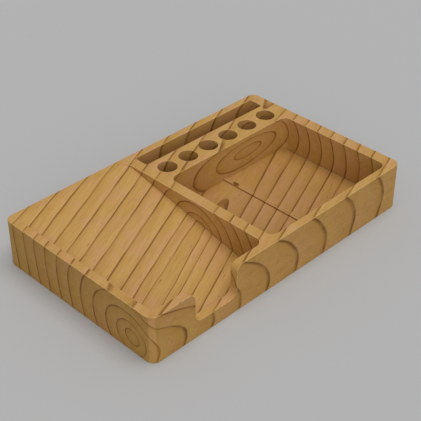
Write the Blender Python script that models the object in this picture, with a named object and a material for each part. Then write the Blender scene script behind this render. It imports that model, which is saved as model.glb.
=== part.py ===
"""Tool storage caddy: a shallow wooden box with a scoop ramp and spout, an open bin, six tool holes and a slot.

Frame: origin at the bottom centre of the footprint, +X along the length towards the bin, +Y towards the back,
+Z up, metres. The front wall, with the spout notch, faces -Y.
The walls, the divider and the tool block are sawn from one routed carcass along their glue lines, so their coves
and rounded corners run on from piece to piece. The scoop block, the floor panel and the rib are fitted into it.
"""

import math

import bmesh
import bpy
from mathutils import Matrix, Vector

# Overall size
LENGTH = 0.200
WIDTH = 0.120
HEIGHT = 0.030
CORNER_RADIUS = 0.005
ARC_SEGMENTS = 8

# Walls
WALL = 0.005
WALL_RIGHT = 0.008
DIVIDER_THICKNESS = 0.007
DIVIDER_LEFT_FACE = -0.015

# Ramp compartment and its spout notch in the front wall
RAMP_FOOT_HEIGHT = 0.007
NOTCH_WIDTH = 0.030
NOTCH_SILL_HEIGHT = 0.010
NOTCH_CORNER_RADIUS = 0.005
NOTCH_LIP_RADIUS = 0.005

# Bin
FLOOR_THICKNESS = 0.007
BIN_DEPTH = 0.080
POCKET_RADIUS = 0.005
RIB_LEFT_FACE = 0.037
RIB_THICKNESS = 0.003
RIB_HEIGHT = 0.0012

# Tool block and slot
TOOL_BLOCK_DEPTH = 0.020
HOLE_COUNT = 6
HOLE_DIAMETER = 0.012
HOLE_PITCH = 0.017
HOLE_SEGMENTS = 40
SLOT_RADIUS = 0.002

# Joinery
GLUE_LINE = 0.0003
TONGUE_DEPTH = 0.002
TONGUE_THICKNESS = 0.002
TONGUE_HEIGHT = 0.0025

# Cutters run this far past the faces they cut
OVERRUN = 0.010

# Places worked out from the sizes above
LEFT = -LENGTH / 2
RIGHT = LENGTH / 2
FRONT = -WIDTH / 2
BACK = WIDTH / 2
INNER_LEFT = LEFT + WALL
INNER_RIGHT = RIGHT - WALL_RIGHT
INNER_FRONT = FRONT + WALL
INNER_BACK = BACK - WALL
DIVIDER_RIGHT_FACE = DIVIDER_LEFT_FACE + DIVIDER_THICKNESS
BLOCK_FRONT = INNER_FRONT + BIN_DEPTH
BLOCK_BACK = BLOCK_FRONT + TOOL_BLOCK_DEPTH
BIN_CENTRE = (DIVIDER_RIGHT_FACE + INNER_RIGHT) / 2
NOTCH_CENTRE = (INNER_LEFT + DIVIDER_LEFT_FACE) / 2

WOOD = {
    "wall_front": (0.36, 0.19, 0.055),
    "wall_back": (0.44, 0.26, 0.09),
    "wall_left": (0.25, 0.135, 0.04),
    "wall_right": (0.42, 0.24, 0.08),
    "divider": (0.46, 0.27, 0.10),
    "scoop_block": (0.47, 0.29, 0.11),
    "floor_panel": (0.38, 0.21, 0.07),
    "tool_block": (0.40, 0.22, 0.065),
    "floor_rib": (0.34, 0.18, 0.055),
}
WOOD_ROUGHNESS = 0.62


def clear_scene():
    for obj in list(bpy.data.objects):
        bpy.data.objects.remove(obj, do_unlink=True)


def new_collection(name):
    collection = bpy.data.collections.new(name)
    bpy.context.scene.collection.children.link(collection)
    return collection


def wood_material(name):
    material = bpy.data.materials.new(name)
    material.use_nodes = True
    shader = material.node_tree.nodes["Principled BSDF"]
    shader.inputs["Base Color"].default_value = (*WOOD[name], 1.0)
    shader.inputs["Roughness"].default_value = WOOD_ROUGHNESS
    shader.inputs["Metallic"].default_value = 0.0
    return material


def object_from_bmesh(name, bm, collection):
    mesh = bpy.data.meshes.new(name)
    bm.to_mesh(mesh)
    bm.free()
    obj = bpy.data.objects.new(name, mesh)
    collection.objects.link(obj)
    return obj


def box_bmesh(low, high):
    """A box between two opposite corners."""
    size = Vector(high) - Vector(low)
    centre = (Vector(high) + Vector(low)) / 2
    bm = bmesh.new()
    bmesh.ops.create_cube(bm, size=1.0, matrix=Matrix.Translation(centre) @ Matrix.Diagonal((*size, 1.0)))
    return bm


def round_edges_along(bm, axis, radius):
    """Rounds the edges that run along one axis of a box."""
    edges = [e for e in bm.edges if abs((e.verts[1].co - e.verts[0].co).normalized()[axis]) > 0.999]
    bmesh.ops.bevel(bm, geom=edges, offset=radius, segments=ARC_SEGMENTS, profile=0.5, affect="EDGES")


def rounded_prism(name, low, high, radius, collection):
    """An upright box with rounded vertical edges."""
    bm = box_bmesh(low, high)
    round_edges_along(bm, 2, radius)
    return object_from_bmesh(name, bm, collection)


def outline_cutter(name, outline, depth, collection):
    """A cutter with a flat outline in X and Z, extruded along Y about the outline's plane."""
    curve = bpy.data.curves.new(name + "_outline", "CURVE")
    curve.dimensions = "2D"
    curve.fill_mode = "BOTH"
    curve.extrude = depth / 2
    spline = curve.splines.new("POLY")
    spline.points.add(len(outline) - 1)
    for point, (x, z) in zip(spline.points, outline):
        point.co = (x, z, 0.0, 1.0)
    spline.use_cyclic_u = True
    guide = bpy.data.objects.new(name + "_outline", curve)
    collection.objects.link(guide)
    bpy.context.view_layer.update()
    depsgraph = bpy.context.evaluated_depsgraph_get()
    bm = bmesh.new()
    bm.from_mesh(bpy.data.meshes.new_from_object(guide.evaluated_get(depsgraph)))
    bmesh.ops.remove_doubles(bm, verts=bm.verts, dist=1e-6)
    bmesh.ops.transform(bm, matrix=Matrix.Rotation(math.radians(90), 4, "X"), verts=bm.verts)
    bmesh.ops.recalc_face_normals(bm, faces=bm.faces)
    bpy.data.objects.remove(guide, do_unlink=True)
    return object_from_bmesh(name, bm, collection)


def arc(centre, radius, start_degrees, end_degrees):
    """Points along a circular arc, both ends included."""
    points = []
    for step in range(ARC_SEGMENTS + 1):
        angle = math.radians(start_degrees + (end_degrees - start_degrees) * step / ARC_SEGMENTS)
        points.append((centre[0] + radius * math.cos(angle), centre[1] + radius * math.sin(angle)))
    return points


def mark_as_cutter(obj):
    obj.hide_render = True
    obj.display_type = "WIRE"


def cut(obj, cutter):
    modifier = obj.modifiers.new("cut_" + cutter.name, "BOOLEAN")
    modifier.operation = "DIFFERENCE"
    modifier.solver = "EXACT"
    modifier.object = cutter


def join(obj, addition):
    modifier = obj.modifiers.new("join_" + addition.name, "BOOLEAN")
    modifier.operation = "UNION"
    modifier.solver = "EXACT"
    modifier.object = addition


# Cutters


def pocket_cutters(cutters):
    """The hollows routed down into the carcass, and the bores."""
    top = HEIGHT + OVERRUN
    ramp_pocket = rounded_prism(
        "ramp_pocket",
        (INNER_LEFT, INNER_FRONT, -OVERRUN),
        (DIVIDER_LEFT_FACE, INNER_BACK, top),
        POCKET_RADIUS,
        cutters,
    )
    bin_pocket = rounded_prism(
        "bin_pocket",
        (DIVIDER_RIGHT_FACE, INNER_FRONT, FLOOR_THICKNESS),
        (INNER_RIGHT, BLOCK_FRONT, top),
        POCKET_RADIUS,
        cutters,
    )
    slot_pocket = rounded_prism(
        "slot_pocket",
        (DIVIDER_RIGHT_FACE, BLOCK_BACK, FLOOR_THICKNESS),
        (INNER_RIGHT, INNER_BACK, top),
        SLOT_RADIUS,
        cutters,
    )
    return [ramp_pocket, bin_pocket, slot_pocket, notch_cutter(cutters), *bore_cutters(cutters)]


def notch_cutter(cutters):
    """The spout notch: a level sill, rounded lower corners and lips that round over at the wall's top."""
    half = NOTCH_WIDTH / 2
    low = NOTCH_SILL_HEIGHT + NOTCH_CORNER_RADIUS
    high = HEIGHT - NOTCH_LIP_RADIUS
    right_side = arc((half - NOTCH_CORNER_RADIUS, low), NOTCH_CORNER_RADIUS, -90, 0)
    right_side += arc((half + NOTCH_LIP_RADIUS, high), NOTCH_LIP_RADIUS, 180, 90)
    right_side.append((half + NOTCH_LIP_RADIUS, HEIGHT + OVERRUN))
    outline = right_side + [(-x, z) for x, z in reversed(right_side)]
    cutter = outline_cutter("spout_notch", outline, WALL + OVERRUN, cutters)
    cutter.location = (NOTCH_CENTRE, FRONT + WALL / 2, 0.0)
    return cutter


def bore_cutters(cutters):
    """The row of tool holes, centred over the bin."""
    bottom = FLOOR_THICKNESS
    top = HEIGHT + OVERRUN
    bores = []
    for index in range(HOLE_COUNT):
        x = BIN_CENTRE + (index - (HOLE_COUNT - 1) / 2) * HOLE_PITCH
        bm = bmesh.new()
        bmesh.ops.create_cone(
            bm,
            cap_ends=True,
            segments=HOLE_SEGMENTS,
            radius1=HOLE_DIAMETER / 2,
            radius2=HOLE_DIAMETER / 2,
            depth=top - bottom,
        )
        bore = object_from_bmesh(f"bore_{index + 1}", bm, cutters)
        bore.location = (x, (BLOCK_FRONT + BLOCK_BACK) / 2, (top + bottom) / 2)
        bores.append(bore)
    return bores


def housing_cutters(cutters):
    """The room for the pieces that are fitted into the carcass: floor panel, its tongue, and divider."""
    recess = rounded_prism(
        "floor_recess",
        (DIVIDER_RIGHT_FACE, INNER_FRONT, -OVERRUN),
        (INNER_RIGHT, INNER_BACK, FLOOR_THICKNESS + GLUE_LINE),
        POCKET_RADIUS,
        cutters,
    )
    housing = object_from_bmesh(
        "divider_housing",
        box_bmesh(
            (DIVIDER_LEFT_FACE - GLUE_LINE, INNER_FRONT - GLUE_LINE, -OVERRUN),
            (DIVIDER_RIGHT_FACE + GLUE_LINE, INNER_BACK + GLUE_LINE, HEIGHT + OVERRUN),
        ),
        cutters,
    )
    return [recess, housing]


def tongue_plate(name, clearance, collection):
    """The plate that stands out round the floor panel as its tongue, or cuts the groove for it."""
    reach = TONGUE_DEPTH + clearance
    return rounded_prism(
        name,
        (DIVIDER_RIGHT_FACE - reach, INNER_FRONT - reach, TONGUE_HEIGHT - clearance),
        (INNER_RIGHT + reach, INNER_BACK + reach, TONGUE_HEIGHT + TONGUE_THICKNESS + clearance),
        POCKET_RADIUS + reach,
        collection,
    )


def saw_kerf(name, start, end, collection):
    """A thin upright slab along a glue line in plan, as wide as the glue line."""
    start = Vector((*start, 0.0))
    end = Vector((*end, 0.0))
    length = (end - start).length
    low = (0.0, -GLUE_LINE / 2, -OVERRUN)
    high = (length, GLUE_LINE / 2, HEIGHT + OVERRUN)
    kerf = object_from_bmesh(name, box_bmesh(low, high), collection)
    kerf.location = start
    kerf.rotation_euler.z = math.atan2(end.y - start.y, end.x - start.x)
    return kerf


def glue_line_cutters(cutters):
    """Mitres at the four corners, and the joint between the tool block and the right wall."""
    kerfs = []
    for end_name, outer_x, inner_x in (("left", LEFT, INNER_LEFT), ("right", RIGHT, INNER_RIGHT)):
        for side_name, outer_y, inner_y in (("front", FRONT, INNER_FRONT), ("back", BACK, INNER_BACK)):
            across = Vector((inner_x - outer_x, inner_y - outer_y))
            outside = Vector((outer_x, outer_y)) - across
            inside = Vector((inner_x, inner_y)) + across
            kerfs.append(saw_kerf(f"mitre_{side_name}_{end_name}", outside, inside, cutters))
    joint_x = INNER_RIGHT - GLUE_LINE / 2
    joint_start = (joint_x, BLOCK_FRONT - POCKET_RADIUS - GLUE_LINE)
    joint_end = (joint_x, BLOCK_BACK + SLOT_RADIUS + GLUE_LINE)
    kerfs.append(saw_kerf("block_joint", joint_start, joint_end, cutters))
    return kerfs


# Pieces sawn from the carcass


def evaluated_bmesh(obj):
    bpy.context.view_layer.update()
    depsgraph = bpy.context.evaluated_depsgraph_get()
    bm = bmesh.new()
    bm.from_mesh(bpy.data.meshes.new_from_object(obj.evaluated_get(depsgraph)))
    return bm


def loose_parts(bm):
    """The sets of vertex indices of the mesh's separate bodies."""
    bm.verts.ensure_lookup_table()
    unseen = set(range(len(bm.verts)))
    parts = []
    while unseen:
        reached = {unseen.pop()}
        front = list(reached)
        while front:
            vertex = bm.verts[front.pop()]
            for edge in vertex.link_edges:
                index = edge.other_vert(vertex).index
                if index not in reached:
                    reached.add(index)
                    front.append(index)
        unseen -= reached
        parts.append(reached)
    return parts


def sawn_pieces(parts_collection, cutters):
    """Carves the carcass, saws it along its glue lines and names each board by where it lies."""
    blank = rounded_prism("carcass", (LEFT, FRONT, 0.0), (RIGHT, BACK, HEIGHT), CORNER_RADIUS, cutters)
    groove = tongue_plate("floor_groove", GLUE_LINE, cutters)
    for cutter in (
        *pocket_cutters(cutters),
        *housing_cutters(cutters),
        groove,
        *glue_line_cutters(cutters),
    ):
        cut(blank, cutter)
    carved = evaluated_bmesh(blank)
    places = {
        "wall_front": Vector((0.0, FRONT)),
        "wall_back": Vector((0.0, BACK)),
        "wall_left": Vector((LEFT, 0.0)),
        "wall_right": Vector((RIGHT, 0.0)),
        "tool_block": Vector((BIN_CENTRE, (BLOCK_FRONT + BLOCK_BACK) / 2)),
    }
    pieces = []
    for indices in loose_parts(carved):
        board = carved.copy()
        board.verts.ensure_lookup_table()
        others = [vertex for vertex in board.verts if vertex.index not in indices]
        bmesh.ops.delete(board, geom=others, context="VERTS")
        xs = [vertex.co.x for vertex in board.verts]
        ys = [vertex.co.y for vertex in board.verts]
        middle = Vector(((min(xs) + max(xs)) / 2, (min(ys) + max(ys)) / 2))
        name = min(places, key=lambda label: (places[label] - middle).length)
        pieces.append(object_from_bmesh(name, board, parts_collection))
    carved.free()
    return pieces, groove


# Pieces fitted into the carcass


def make_divider(parts_collection, groove):
    low = (DIVIDER_LEFT_FACE, INNER_FRONT, 0.0)
    high = (DIVIDER_RIGHT_FACE, INNER_BACK, HEIGHT)
    divider = object_from_bmesh("divider", box_bmesh(low, high), parts_collection)
    cut(divider, groove)
    return divider


def make_scoop_block(parts_collection, cutters):
    """The wedge in the ramp compartment: flush with the top at the back, falling to the notch's foot."""
    block = rounded_prism(
        "scoop_block",
        (INNER_LEFT + GLUE_LINE, INNER_FRONT + GLUE_LINE, 0.0),
        (DIVIDER_LEFT_FACE - GLUE_LINE, INNER_BACK - GLUE_LINE, HEIGHT),
        POCKET_RADIUS - GLUE_LINE,
        parts_collection,
    )
    run = INNER_BACK - INNER_FRONT
    low = (INNER_LEFT - OVERRUN, -OVERRUN, 0.0)
    high = (DIVIDER_LEFT_FACE + OVERRUN, run + 2 * OVERRUN, HEIGHT)
    ramp_cutter = object_from_bmesh("above_ramp", box_bmesh(low, high), cutters)
    ramp_cutter.location = (0.0, INNER_FRONT, RAMP_FOOT_HEIGHT)
    ramp_cutter.rotation_euler.x = math.atan2(HEIGHT - RAMP_FOOT_HEIGHT, run)
    cut(block, ramp_cutter)
    return block


def make_floor_panel(parts_collection, cutters):
    panel = rounded_prism(
        "floor_panel",
        (DIVIDER_RIGHT_FACE + GLUE_LINE, INNER_FRONT + GLUE_LINE, 0.0),
        (INNER_RIGHT - GLUE_LINE, INNER_BACK - GLUE_LINE, FLOOR_THICKNESS),
        POCKET_RADIUS - GLUE_LINE,
        parts_collection,
    )
    join(panel, tongue_plate("floor_tongue", 0.0, cutters))
    return panel


def make_floor_rib(parts_collection):
    low = (RIB_LEFT_FACE, INNER_FRONT + GLUE_LINE, FLOOR_THICKNESS + GLUE_LINE)
    high = (RIB_LEFT_FACE + RIB_THICKNESS, BLOCK_FRONT - GLUE_LINE, FLOOR_THICKNESS + RIB_HEIGHT)
    return object_from_bmesh("floor_rib", box_bmesh(low, high), parts_collection)


def main():
    clear_scene()
    caddy = new_collection("tool_storage_caddy")
    cutters = new_collection("cutters")
    pieces, groove = sawn_pieces(caddy, cutters)
    pieces.append(make_divider(caddy, groove))
    pieces.append(make_scoop_block(caddy, cutters))
    pieces.append(make_floor_panel(caddy, cutters))
    pieces.append(make_floor_rib(caddy))
    for piece in pieces:
        piece.data.materials.clear()
        piece.data.materials.append(wood_material(piece.name))
        piece.data.shade_smooth()
        piece.data.set_sharp_from_angle(angle=math.radians(30))
    for cutter in cutters.objects:
        mark_as_cutter(cutter)


main()
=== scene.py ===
"""The looks of the tool storage caddy: closed joints, eased edges, solid pine, pale floor, soft light."""

import math

import bmesh
import bpy
import numpy as np
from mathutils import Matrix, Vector
from mathutils.bvhtree import BVHTree


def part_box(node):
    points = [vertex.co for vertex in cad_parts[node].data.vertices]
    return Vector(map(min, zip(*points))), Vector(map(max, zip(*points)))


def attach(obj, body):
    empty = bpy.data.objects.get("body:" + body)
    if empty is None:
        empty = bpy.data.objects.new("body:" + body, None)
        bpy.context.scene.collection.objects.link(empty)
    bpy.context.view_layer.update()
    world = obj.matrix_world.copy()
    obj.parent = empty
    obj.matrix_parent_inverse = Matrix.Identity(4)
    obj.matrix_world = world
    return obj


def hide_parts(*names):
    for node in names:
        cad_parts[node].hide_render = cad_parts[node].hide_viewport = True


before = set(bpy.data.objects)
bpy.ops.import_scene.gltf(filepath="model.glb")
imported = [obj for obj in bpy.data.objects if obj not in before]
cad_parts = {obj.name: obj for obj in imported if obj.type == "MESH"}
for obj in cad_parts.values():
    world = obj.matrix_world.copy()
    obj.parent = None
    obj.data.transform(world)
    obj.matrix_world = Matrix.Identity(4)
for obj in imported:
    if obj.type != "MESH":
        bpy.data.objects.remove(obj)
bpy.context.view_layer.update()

MM = 0.001

# Joints: neighbours stand this far apart in the frame, and are drawn together until they just overlap
GAP_REACH = 0.36 * MM
OVERLAP = 0.004 * MM
MERGE = 0.002 * MM

# Faces are sampled in steps of this length, and large ones in so many steps
SAMPLE_STEP = 1.5 * MM
MOST_STEPS = 16

# A face lies in a joint if neighbours face more than this share of it
FULLY_COVERED = 0.90

# Cosines between two normals: of faces in one plane, of planes that count as one at a corner, and of faces
# that look at each other across a joint
SAME_PLANE = 0.99999
SAME_DIRECTION = 0.999
ACROSS = -0.9

# Least-squares cutoff that keeps two nearly parallel planes from moving their shared corner too far
CORNER_CUTOFF = 0.12

# Eased edges
MERGE_ANGLE = math.radians(0.3)
EASE = 0.3 * MM
EASE_SEGMENTS = 2
SHARP_ANGLE = math.radians(30)
SHADE_ANGLE = math.radians(28)
EDGE_PROBE = 0.45 * MM

# The trunk that the caddy is cut from, in millimetres: pith line, slow bends of the grain, growth rings
PITH = (0.0, -12.8, 10.9)
PITH_RUN = (1.0, 0.434, 0.069)
LONG_BEND = {"wave": (-0.008, 0.020, -0.028), "phase": (0.0, -1.1, 4.2), "sway": (0.0, 10.9, 11.6)}
SHORT_BEND = {"wave": (0.025, -0.009, -0.047), "phase": (0.0, 1.7, 2.7), "sway": (0.0, -0.7, 1.4)}
OVALITY = 0.92
OFF_CENTRE = (0.0, 0.17, -0.21)
RING_WIDTH = 8.92
CORE_CROWDING = 3.54
CORE_REACH = 4.76
CORE_AGE = -1.5
RIPPLE = 0.5
RIPPLE_NOISE = {"stretch": (0.035, 0.09, 0.09), "detail": 1.0}

# Where a ring's dark line sets in and where it is full, and where it has ended in the next ring, in rings
LINE_ONSET = (0.86, 0.985)
LINE_END = (0.0, 0.035)

# Noise in the wood: the first four run with the trunk, the last two don't
FIBRE_NOISE = {"stretch": (0.07, 1.0, 1.0), "scale": 1.1, "detail": 4.0, "roughness": 0.6}
STREAK_NOISE = {"stretch": (0.03, 0.25, 0.25), "detail": 3.0}
PORE_NOISE = {"stretch": (0.22, 1.3, 1.3), "detail": 0.0}
FADE_NOISE = {"stretch": (0.05, 0.12, 0.12), "detail": 1.0}
BLOTCH_NOISE = {"stretch": (0.05, 0.05, 0.05), "detail": 4.0, "roughness": 0.65}
WEAR_NOISE = {"stretch": (0.5, 0.5, 0.5)}

# The span of each noise over which its mark comes in
BLOTCH_SPAN = (0.42, 0.6)
STREAK_SPAN = (0.42, 0.75)
FIBRE_SPAN = (0.3, 0.75)
PORE_SPAN = (0.80, 0.86)
FADE_SPAN = (0.35, 0.62)
WEAR_SPAN = (0.35, 0.6)

# How strongly each of them shows in the colour
LATE_WOOD_MOST = 0.7
STREAK_MOST = 0.5
FIBRE_MOST = 0.3
PORE_MOST = 0.6
LINE_STRENGTH = (0.45, 0.85)
WEAR_STRENGTH = (0.1, 0.7)

# Surface: fibres set the roughness, stand up from it, and the ring lines sink in
ROUGHNESS = (0.50, 0.66)
ROUGHNESS_SPAN = (0.2, 0.8)
FIBRE_RELIEF = 0.4
LINE_RELIEF = 0.5
SPECULAR = 0.25
BUMP_DEPTH = 0.1 * MM
BUMP_STRENGTH = 0.5

# Past these places in X and Y, in millimetres, a point lies on one of the caddy's outer faces
OUTSIDE = (99.6, 59.6, 0.0)
# Painted shade on the outer faces grows over this span of how far they face along the trunk
OUTER_SHADE_SPAN = (0.0, 0.8)

# Floor and camera
FLOOR_HALF_SIZE = 6.0
FLOOR_ROUGHNESS = 0.9
FLOOR_SPECULAR = 0.1
CAMERA_PLACE = (-0.35138, -0.35176, 0.36694)
CAMERA_LOOK = (1.0, 1.0, -1.0)
LENS_MM = 90.0
SENSOR_MM = 36.0

# Light: each lamp's share of the light on the floor, the way to it, and how wide it is seen
FLOOR_TONE = 0.50
AMBIENT = 0.38
LAMPS = {
    "overhead": {"share": 0.45, "azimuth": 300, "height": 80, "width": 44},
    "fill": {"share": 0.06, "azimuth": 236, "height": 20, "width": 40},
}


# Pieces


def merged_mesh(node):
    """A CAD node's triangles, with the points that its corners share merged."""
    bm = bmesh.new()
    bm.from_mesh(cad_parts[node].data)
    bmesh.ops.remove_doubles(bm, verts=bm.verts, dist=MERGE)
    return bm


def split_at_neighbours(node, bm):
    """Splits a piece's faces where a neighbour begins and ends, so that each is covered all over or not."""
    low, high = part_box(node)
    cuts = set()
    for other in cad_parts:
        if other == node:
            continue
        other_low, other_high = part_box(other)
        near = all(
            other_low[a] - GAP_REACH < high[a] and other_high[a] + GAP_REACH > low[a] for a in range(3)
        )
        if near:
            for axis in (0, 1):
                for place in (other_low[axis], other_high[axis]):
                    if low[axis] + MM < place < high[axis] - MM:
                        cuts.add((axis, round(place, 6)))
    for axis, place in sorted(cuts):
        normal = Vector((axis == 0, axis == 1, 0))
        point = normal * place
        geometry = bm.verts[:] + bm.edges[:] + bm.faces[:]
        made = bmesh.ops.bisect_plane(bm, geom=geometry, dist=MERGE, plane_co=point, plane_no=normal)
        for element in made["geom_cut"]:
            if isinstance(element, bmesh.types.BMEdge):
                element.seam = True
    bm.faces.index_update()


def flat_regions(bm):
    """Numbers the flat regions of a mesh, and gives each face's number."""
    number = {}
    count = 0
    for seed in bm.faces:
        if seed in number:
            continue
        number[seed] = count
        front = [seed]
        while front:
            face = front.pop()
            for edge in face.edges:
                for other in edge.link_faces:
                    if other not in number and other.normal.dot(seed.normal) > SAME_PLANE:
                        number[other] = count
                        front.append(other)
        count += 1
    return [number[face] for face in bm.faces], count


def samples(face):
    """Points spread evenly over a triangle or a convex face."""
    corners = [loop.vert.co for loop in face.loops]
    for second, third in zip(corners[1:-1], corners[2:]):
        a, b, c = corners[0], second, third
        steps = max(1, min(MOST_STEPS, math.ceil(max((b - a).length, (c - a).length) / SAMPLE_STEP)))
        for i in range(steps):
            for j in range(steps - i):
                u = (i + 1 / 3) / steps
                v = (j + 1 / 3) / steps
                weight = (b - a).cross(c - a).length / steps**2
                yield a + (b - a) * u + (c - a) * v, weight


def opposite(node, point, normal, trees):
    """The neighbour's face across a joint from a point, as (distance, node, face index), or None."""
    nearest = None
    for other, tree in trees.items():
        if other == node:
            continue
        hit, hit_normal, index, distance = tree.ray_cast(point + normal * MERGE, normal, GAP_REACH)
        if hit is not None and hit_normal.dot(normal) < ACROSS and (nearest is None or distance < nearest[0]):
            nearest = (distance + MERGE, other, index)
    return nearest


def joint_shifts(meshes, trees):
    """How far each flat region moves out: half the gap, or all of it if the other side stays."""
    regions = {}
    for node, bm in meshes.items():
        numbers, count = flat_regions(bm)
        area = [0.0] * count
        covered = [0.0] * count
        gap = [0.0] * count
        across = [{} for _ in range(count)]
        for face, number in zip(bm.faces, numbers):
            for point, weight in samples(face):
                area[number] += weight
                found = opposite(node, point, face.normal, trees)
                if found:
                    covered[number] += weight
                    gap[number] += weight * found[0]
                    key = found[1:]
                    across[number][key] = across[number].get(key, 0.0) + weight
        full = [c > FULLY_COVERED * a for c, a in zip(covered, area)]
        gap = [g / c if c else 0.0 for g, c in zip(gap, covered)]
        regions[node] = (numbers, full, gap, across)
    shifts = {}
    for node, (numbers, full, gap, across) in regions.items():
        share = []
        for number, is_full in enumerate(full):
            moving = still = 0.0
            for (other, index), weight in across[number].items():
                other_numbers, other_full = regions[other][:2]
                if other_full[other_numbers[index]]:
                    moving += weight
                else:
                    still += weight
            part = 0.5 if moving > still else 1.0
            share.append(gap[number] * part + OVERLAP if is_full else 0.0)
        shifts[node] = [share[number] for number in numbers]
    return shifts


def close_joints(bm, shift_layer):
    """Moves each shifted face out along its normal, and lets its corners slide along the faces that stay."""
    moves = {}
    for vertex in bm.verts:
        planes = []
        for face in sorted(vertex.link_faces, key=lambda f: -f[shift_layer]):
            if all(face.normal.dot(normal) < SAME_DIRECTION for normal, _ in planes):
                planes.append((face.normal, face[shift_layer]))
        if any(shift for _, shift in planes):
            normals = np.array([normal for normal, _ in planes])
            wanted = np.array([shift for _, shift in planes])
            moves[vertex] = Vector(np.linalg.lstsq(normals, wanted, rcond=CORNER_CUTOFF)[0])
    for vertex, move in moves.items():
        vertex.co += move


def exposed_edges(node, bm, trees):
    """The outward edges that no neighbour covers, and that a hand would touch."""
    edges = []
    for edge in bm.edges:
        if len(edge.link_faces) != 2 or edge.calc_face_angle_signed(0.0) < SHARP_ANGLE:
            continue
        first, second = edge.link_faces
        a, b = (vertex.co for vertex in edge.verts)
        steps = max(1, round((b - a).length / SAMPLE_STEP))
        hidden = 0
        for step in range(steps):
            point = a + (b - a) * ((step + 0.5) / steps)
            for face, other in ((first, second), (second, first)):
                if opposite(node, point - other.normal * EDGE_PROBE, face.normal, trees):
                    hidden += 1
        if hidden < steps / 2:
            edges.append(edge)
    # What is left of a joint's corner, shorter than the gap, is not an edge of its own
    while True:
        ends = [vertex for edge in edges for vertex in edge.verts]
        short = [edge for edge in edges if edge.calc_length() < GAP_REACH]
        loose = {edge for edge in short if min(map(ends.count, edge.verts)) < 2}
        if not loose:
            return edges
        edges = [edge for edge in edges if edge not in loose]


def shown_piece(node, bm, shifts, trees):
    """The visible stand-in of one CAD node, with its joints closed and its free edges eased."""
    shift_layer = bm.faces.layers.float.new("shift")
    for face, shift in zip(bm.faces, shifts):
        face[shift_layer] = shift
    bmesh.ops.dissolve_limit(
        bm,
        angle_limit=MERGE_ANGLE,
        use_dissolve_boundaries=False,
        verts=bm.verts,
        edges=bm.edges,
        delimit={"SEAM"},
    )
    edges = exposed_edges(node, bm, trees)
    close_joints(bm, shift_layer)
    made = bmesh.ops.bevel(
        bm,
        geom=edges,
        offset=EASE,
        offset_type="OFFSET",
        segments=EASE_SEGMENTS,
        profile=0.5,
        affect="EDGES",
        clamp_overlap=False,
    )
    eased = bm.loops.layers.float.new("eased")
    for face in made["faces"]:
        for loop in face.loops:
            loop[eased] = 1.0
    mesh = bpy.data.meshes.new("wood_" + node)
    bm.to_mesh(mesh)
    bm.free()
    mesh.shade_smooth()
    mesh.set_sharp_from_angle(angle=SHADE_ANGLE)
    piece = bpy.data.objects.new("wood_" + node, mesh)
    bpy.context.scene.collection.objects.link(piece)
    weighted = piece.modifiers.new("weighted_normals", "WEIGHTED_NORMAL")
    weighted.keep_sharp = True
    # In square metres every face here is tiny, and a threshold would count them all as equally large
    weighted.thresh = 0.0
    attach(piece, "root")
    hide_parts(node)
    return piece


def shown_pieces():
    meshes = {}
    for node in sorted(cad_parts):
        meshes[node] = merged_mesh(node)
        split_at_neighbours(node, meshes[node])
    trees = {node: BVHTree.FromBMesh(bm) for node, bm in meshes.items()}
    shifts = joint_shifts(meshes, trees)
    return {node: shown_piece(node, bm, shifts[node], trees) for node, bm in meshes.items()}


# Materials


class Graph:
    """A material's node tree, with short calls for what this file needs."""

    def __init__(self, name):
        self.material = bpy.data.materials.new(name)
        self.material.use_nodes = True
        self.tree = self.material.node_tree
        self.shader = self.tree.nodes["Principled BSDF"]

    def add(self, kind, inputs, output=0, **settings):
        node = self.tree.nodes.new(kind)
        for key, value in settings.items():
            setattr(node, key, value)
        for socket, value in inputs.items():
            self.put(node.inputs[socket], value)
        return node.outputs[output]

    def put(self, socket, value):
        if isinstance(value, bpy.types.NodeSocket):
            self.tree.links.new(value, socket)
        else:
            socket.default_value = value

    def math(self, operation, *values):
        return self.add("ShaderNodeMath", dict(enumerate(values)), operation=operation)

    def vector(self, operation, *values, output=0):
        return self.add("ShaderNodeVectorMath", dict(enumerate(values)), output, operation=operation)

    def scaled(self, vector, factors):
        return self.vector("MULTIPLY", vector, factors)

    def noise(self, vector, stretch, scale=1.0, detail=2.0, roughness=0.5):
        inputs = {
            "Vector": self.scaled(vector, stretch),
            "Scale": scale,
            "Detail": detail,
            "Roughness": roughness,
        }
        return self.add("ShaderNodeTexNoise", inputs, noise_dimensions="3D")

    def spread(self, value, low, high, to_low=0.0, to_high=1.0, kind="SMOOTHSTEP"):
        """Maps low...high to to_low...to_high."""
        inputs = {
            "Value": value,
            "From Min": low,
            "From Max": high,
            "To Min": to_low,
            "To Max": to_high,
        }
        return self.add("ShaderNodeMapRange", inputs, interpolation_type=kind)

    def mix(self, factor, first, second, blend="MIX"):
        node = self.tree.nodes.new("ShaderNodeMix")
        node.data_type = "RGBA"
        node.blend_type = blend
        self.put(node.inputs["Factor"], factor)
        for socket, value in zip((node.inputs[6], node.inputs[7]), (first, second)):
            self.put(socket, value)
        return node.outputs[2]


def linear(red, green, blue):
    """A display colour of 0 to 255 a channel as linear light."""
    channels = []
    for value in (red, green, blue):
        value /= 255
        channels.append(value / 12.92 if value <= 0.04045 else ((value + 0.055) / 1.055) ** 2.4)
    return (*channels, 1.0)


EARLY_WOOD = linear(203, 160, 92)
EARLY_WOOD_WARM = linear(206, 157, 104)
LATE_WOOD = linear(184, 138, 62)
FIBRE = linear(164, 118, 52)
RING_LINE = linear(112, 66, 16)
WORN_WOOD = linear(214, 178, 118)

# Factors on the colour: painted shade for the outer faces, the deeper the more they cut across the grain;
# painted shade for the bin's floor and its rib, down in the bin; and none for the other pieces
OUTER_SHADE_TINT = (0.86, 0.83, 0.62, 1.0)
BIN_FLOOR_SHADE_TINT = (0.85, 0.81, 0.78, 1.0)
PLAIN_BOARD = (1.0, 1.0, 1.0, 1.0)
FLOOR_NODES = ("floor_panel", "floor_rib")


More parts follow.
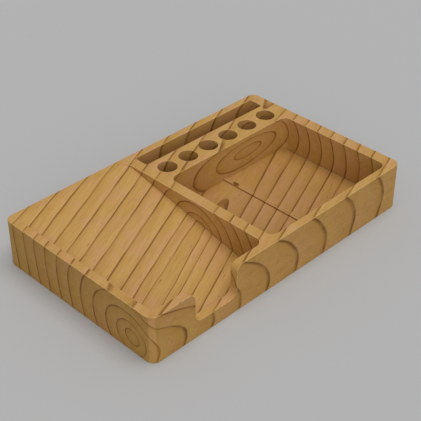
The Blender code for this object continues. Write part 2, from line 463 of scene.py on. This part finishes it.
def ring_age(g, mm):
    """How many rings lie between the pith and a point. Whole numbers are the dark lines."""
    across = g.vector("SUBTRACT", mm, PITH)
    across = g.vector("SUBTRACT", across, g.vector("PROJECT", across, PITH_RUN))
    for bend in (LONG_BEND, SHORT_BEND):
        turn = g.vector("ADD", g.vector("DOT_PRODUCT", mm, bend["wave"], output=1), bend["phase"])
        across = g.vector("ADD", across, g.scaled(g.vector("SINE", turn), bend["sway"]))
    oval = (1.0, 1.0, OVALITY)
    radius = g.vector("LENGTH", g.scaled(across, oval), output=1)
    across = g.vector("SUBTRACT", across, g.scaled(radius, OFF_CENTRE))
    radius = g.vector("LENGTH", g.scaled(across, oval), output=1)
    ripple = g.noise(mm, **RIPPLE_NOISE)
    radius = g.math("ADD", radius, g.spread(ripple, 0.0, 1.0, -RIPPLE, RIPPLE, "LINEAR"))
    core = g.math("EXPONENT", g.math("DIVIDE", radius, -CORE_REACH))
    age = g.math("SUBTRACT", g.math("DIVIDE", radius, RING_WIDTH), g.math("MULTIPLY", core, CORE_CROWDING))
    return g.math("MAXIMUM", age, CORE_AGE)


def pine(name, tone):
    """Solid wood, so that rings and fibres meet across the edges and run through every piece alike."""
    g = Graph(name)
    coordinates = g.tree.nodes.new("ShaderNodeTexCoord").outputs
    mm = g.scaled(coordinates["Object"], (1 / MM,) * 3)
    age = ring_age(g, mm)
    season = g.math("SUBTRACT", age, g.math("FLOOR", age))
    line = g.math("MAXIMUM", g.spread(season, *LINE_ONSET), g.spread(season, *LINE_END, 1.0, 0.0))

    # The trunk's own coordinates, along it and across it
    turn = (0.0, -math.atan(PITH_RUN[2]), math.atan(PITH_RUN[1]))
    trunk = g.add("ShaderNodeMapping", {"Vector": mm, "Rotation": turn}, vector_type="TEXTURE")
    fibre = g.noise(trunk, **FIBRE_NOISE)
    streak = g.noise(trunk, **STREAK_NOISE)
    pore = g.noise(trunk, **PORE_NOISE)
    fade = g.noise(trunk, **FADE_NOISE)
    blotch = g.noise(mm, **BLOTCH_NOISE)

    # Pale early wood turns to late wood within a ring, under streaks, fibres, ring lines and pores
    wood = g.mix(g.spread(blotch, *BLOTCH_SPAN), EARLY_WOOD, EARLY_WOOD_WARM)
    wood = g.mix(g.math("MULTIPLY", g.math("POWER", season, 2.0), LATE_WOOD_MOST), wood, LATE_WOOD)
    wood = g.mix(g.spread(streak, *STREAK_SPAN, 0.0, STREAK_MOST), wood, LATE_WOOD)
    wood = g.mix(g.spread(fibre, *FIBRE_SPAN, 0.0, FIBRE_MOST), wood, FIBRE)
    line = g.math("MULTIPLY", line, g.spread(fade, *FADE_SPAN, *LINE_STRENGTH))
    wood = g.mix(line, wood, RING_LINE)
    wood = g.mix(g.spread(pore, *PORE_SPAN, 0.0, PORE_MOST), wood, RING_LINE)

    # Painted shade: outer faces are made darker the more they cut across the grain
    facing = g.math("ABSOLUTE", g.vector("DOT_PRODUCT", coordinates["Normal"], PITH_RUN, output=1))
    beyond = g.vector("SUBTRACT", g.vector("ABSOLUTE", mm), OUTSIDE)
    beyond = [g.add("ShaderNodeSeparateXYZ", {"Vector": beyond}, axis) for axis in (0, 1)]
    outer = g.math("GREATER_THAN", g.math("MAXIMUM", *beyond), 0.0)
    painted_outer_shade = g.math("MULTIPLY", outer, g.spread(facing, *OUTER_SHADE_SPAN, kind="LINEAR"))
    wood = g.mix(painted_outer_shade, wood, OUTER_SHADE_TINT, "MULTIPLY")
    # Painted shade for the bin's floor pieces comes in here through tone; the other pieces keep their colour
    wood = g.mix(1.0, wood, tone, "MULTIPLY")

    # Edges are worn pale in places
    eased = g.add("ShaderNodeAttribute", {}, 2, attribute_name="eased")
    rubbed = g.noise(mm, **WEAR_NOISE)
    wear = g.math("MULTIPLY", eased, g.spread(rubbed, *WEAR_SPAN, *WEAR_STRENGTH))
    wood = g.mix(wear, wood, WORN_WOOD)

    g.put(g.shader.inputs["Base Color"], wood)
    g.put(g.shader.inputs["Roughness"], g.spread(fibre, *ROUGHNESS_SPAN, *ROUGHNESS))
    g.shader.inputs["Specular IOR Level"].default_value = SPECULAR
    raised = g.math("MULTIPLY", fibre, FIBRE_RELIEF)
    sunk = g.math("MULTIPLY", line, LINE_RELIEF)
    relief = g.math("SUBTRACT", raised, sunk)
    bump = g.add("ShaderNodeBump", {"Height": relief, "Distance": BUMP_DEPTH, "Strength": BUMP_STRENGTH})
    g.put(g.shader.inputs["Normal"], bump)
    return g.material


def plain_floor():
    g = Graph("floor")
    g.shader.inputs["Base Color"].default_value = (FLOOR_TONE,) * 3 + (1.0,)
    g.shader.inputs["Roughness"].default_value = FLOOR_ROUGHNESS
    g.shader.inputs["Specular IOR Level"].default_value = FLOOR_SPECULAR
    return g.material


# Stage


def lay_floor():
    bm = bmesh.new()
    bmesh.ops.create_grid(bm, x_segments=1, y_segments=1, size=FLOOR_HALF_SIZE)
    mesh = bpy.data.meshes.new("floor")
    bm.to_mesh(mesh)
    bm.free()
    floor = bpy.data.objects.new("floor", mesh)
    bpy.context.scene.collection.objects.link(floor)
    mesh.materials.append(plain_floor())


def light_stage():
    scene = bpy.context.scene
    world = bpy.data.worlds.new("studio")
    world.use_nodes = True
    background = world.node_tree.nodes["Background"]
    background.inputs["Color"].default_value = (1.0, 1.0, 1.0, 1.0)
    background.inputs["Strength"].default_value = AMBIENT
    scene.world = world
    for name, lamp in LAMPS.items():
        turn = math.radians(lamp["azimuth"])
        rise = math.radians(lamp["height"])
        direction = Vector((math.cos(rise) * math.cos(turn), math.cos(rise) * math.sin(turn), math.sin(rise)))
        sun = bpy.data.lights.new(name, "SUN")
        sun.energy = math.pi * lamp["share"] / direction.z
        sun.angle = math.radians(lamp["width"])
        light = bpy.data.objects.new(name, sun)
        light.rotation_euler = direction.to_track_quat("Z", "Y").to_euler()
        scene.collection.objects.link(light)
    scene.view_settings.view_transform = "Standard"


def place_camera():
    lens = bpy.data.cameras.new("camera")
    lens.sensor_width = SENSOR_MM
    lens.lens = LENS_MM
    camera = bpy.data.objects.new("camera", lens)
    camera.location = CAMERA_PLACE
    camera.rotation_euler = Vector(CAMERA_LOOK).to_track_quat("-Z", "Y").to_euler()
    bpy.context.scene.collection.objects.link(camera)
    bpy.context.scene.camera = camera


place_camera()
pine_material = pine("pine", PLAIN_BOARD)
# The bin's floor and its rib get a darker copy of the pine: painted shade for their place deep in the bin
shaded_floor_material = pine("pine_bin_floor_shaded", BIN_FLOOR_SHADE_TINT)
for node, piece in shown_pieces().items():
    piece.data.materials.append(shaded_floor_material if node in FLOOR_NODES else pine_material)
lay_floor()
light_stage()
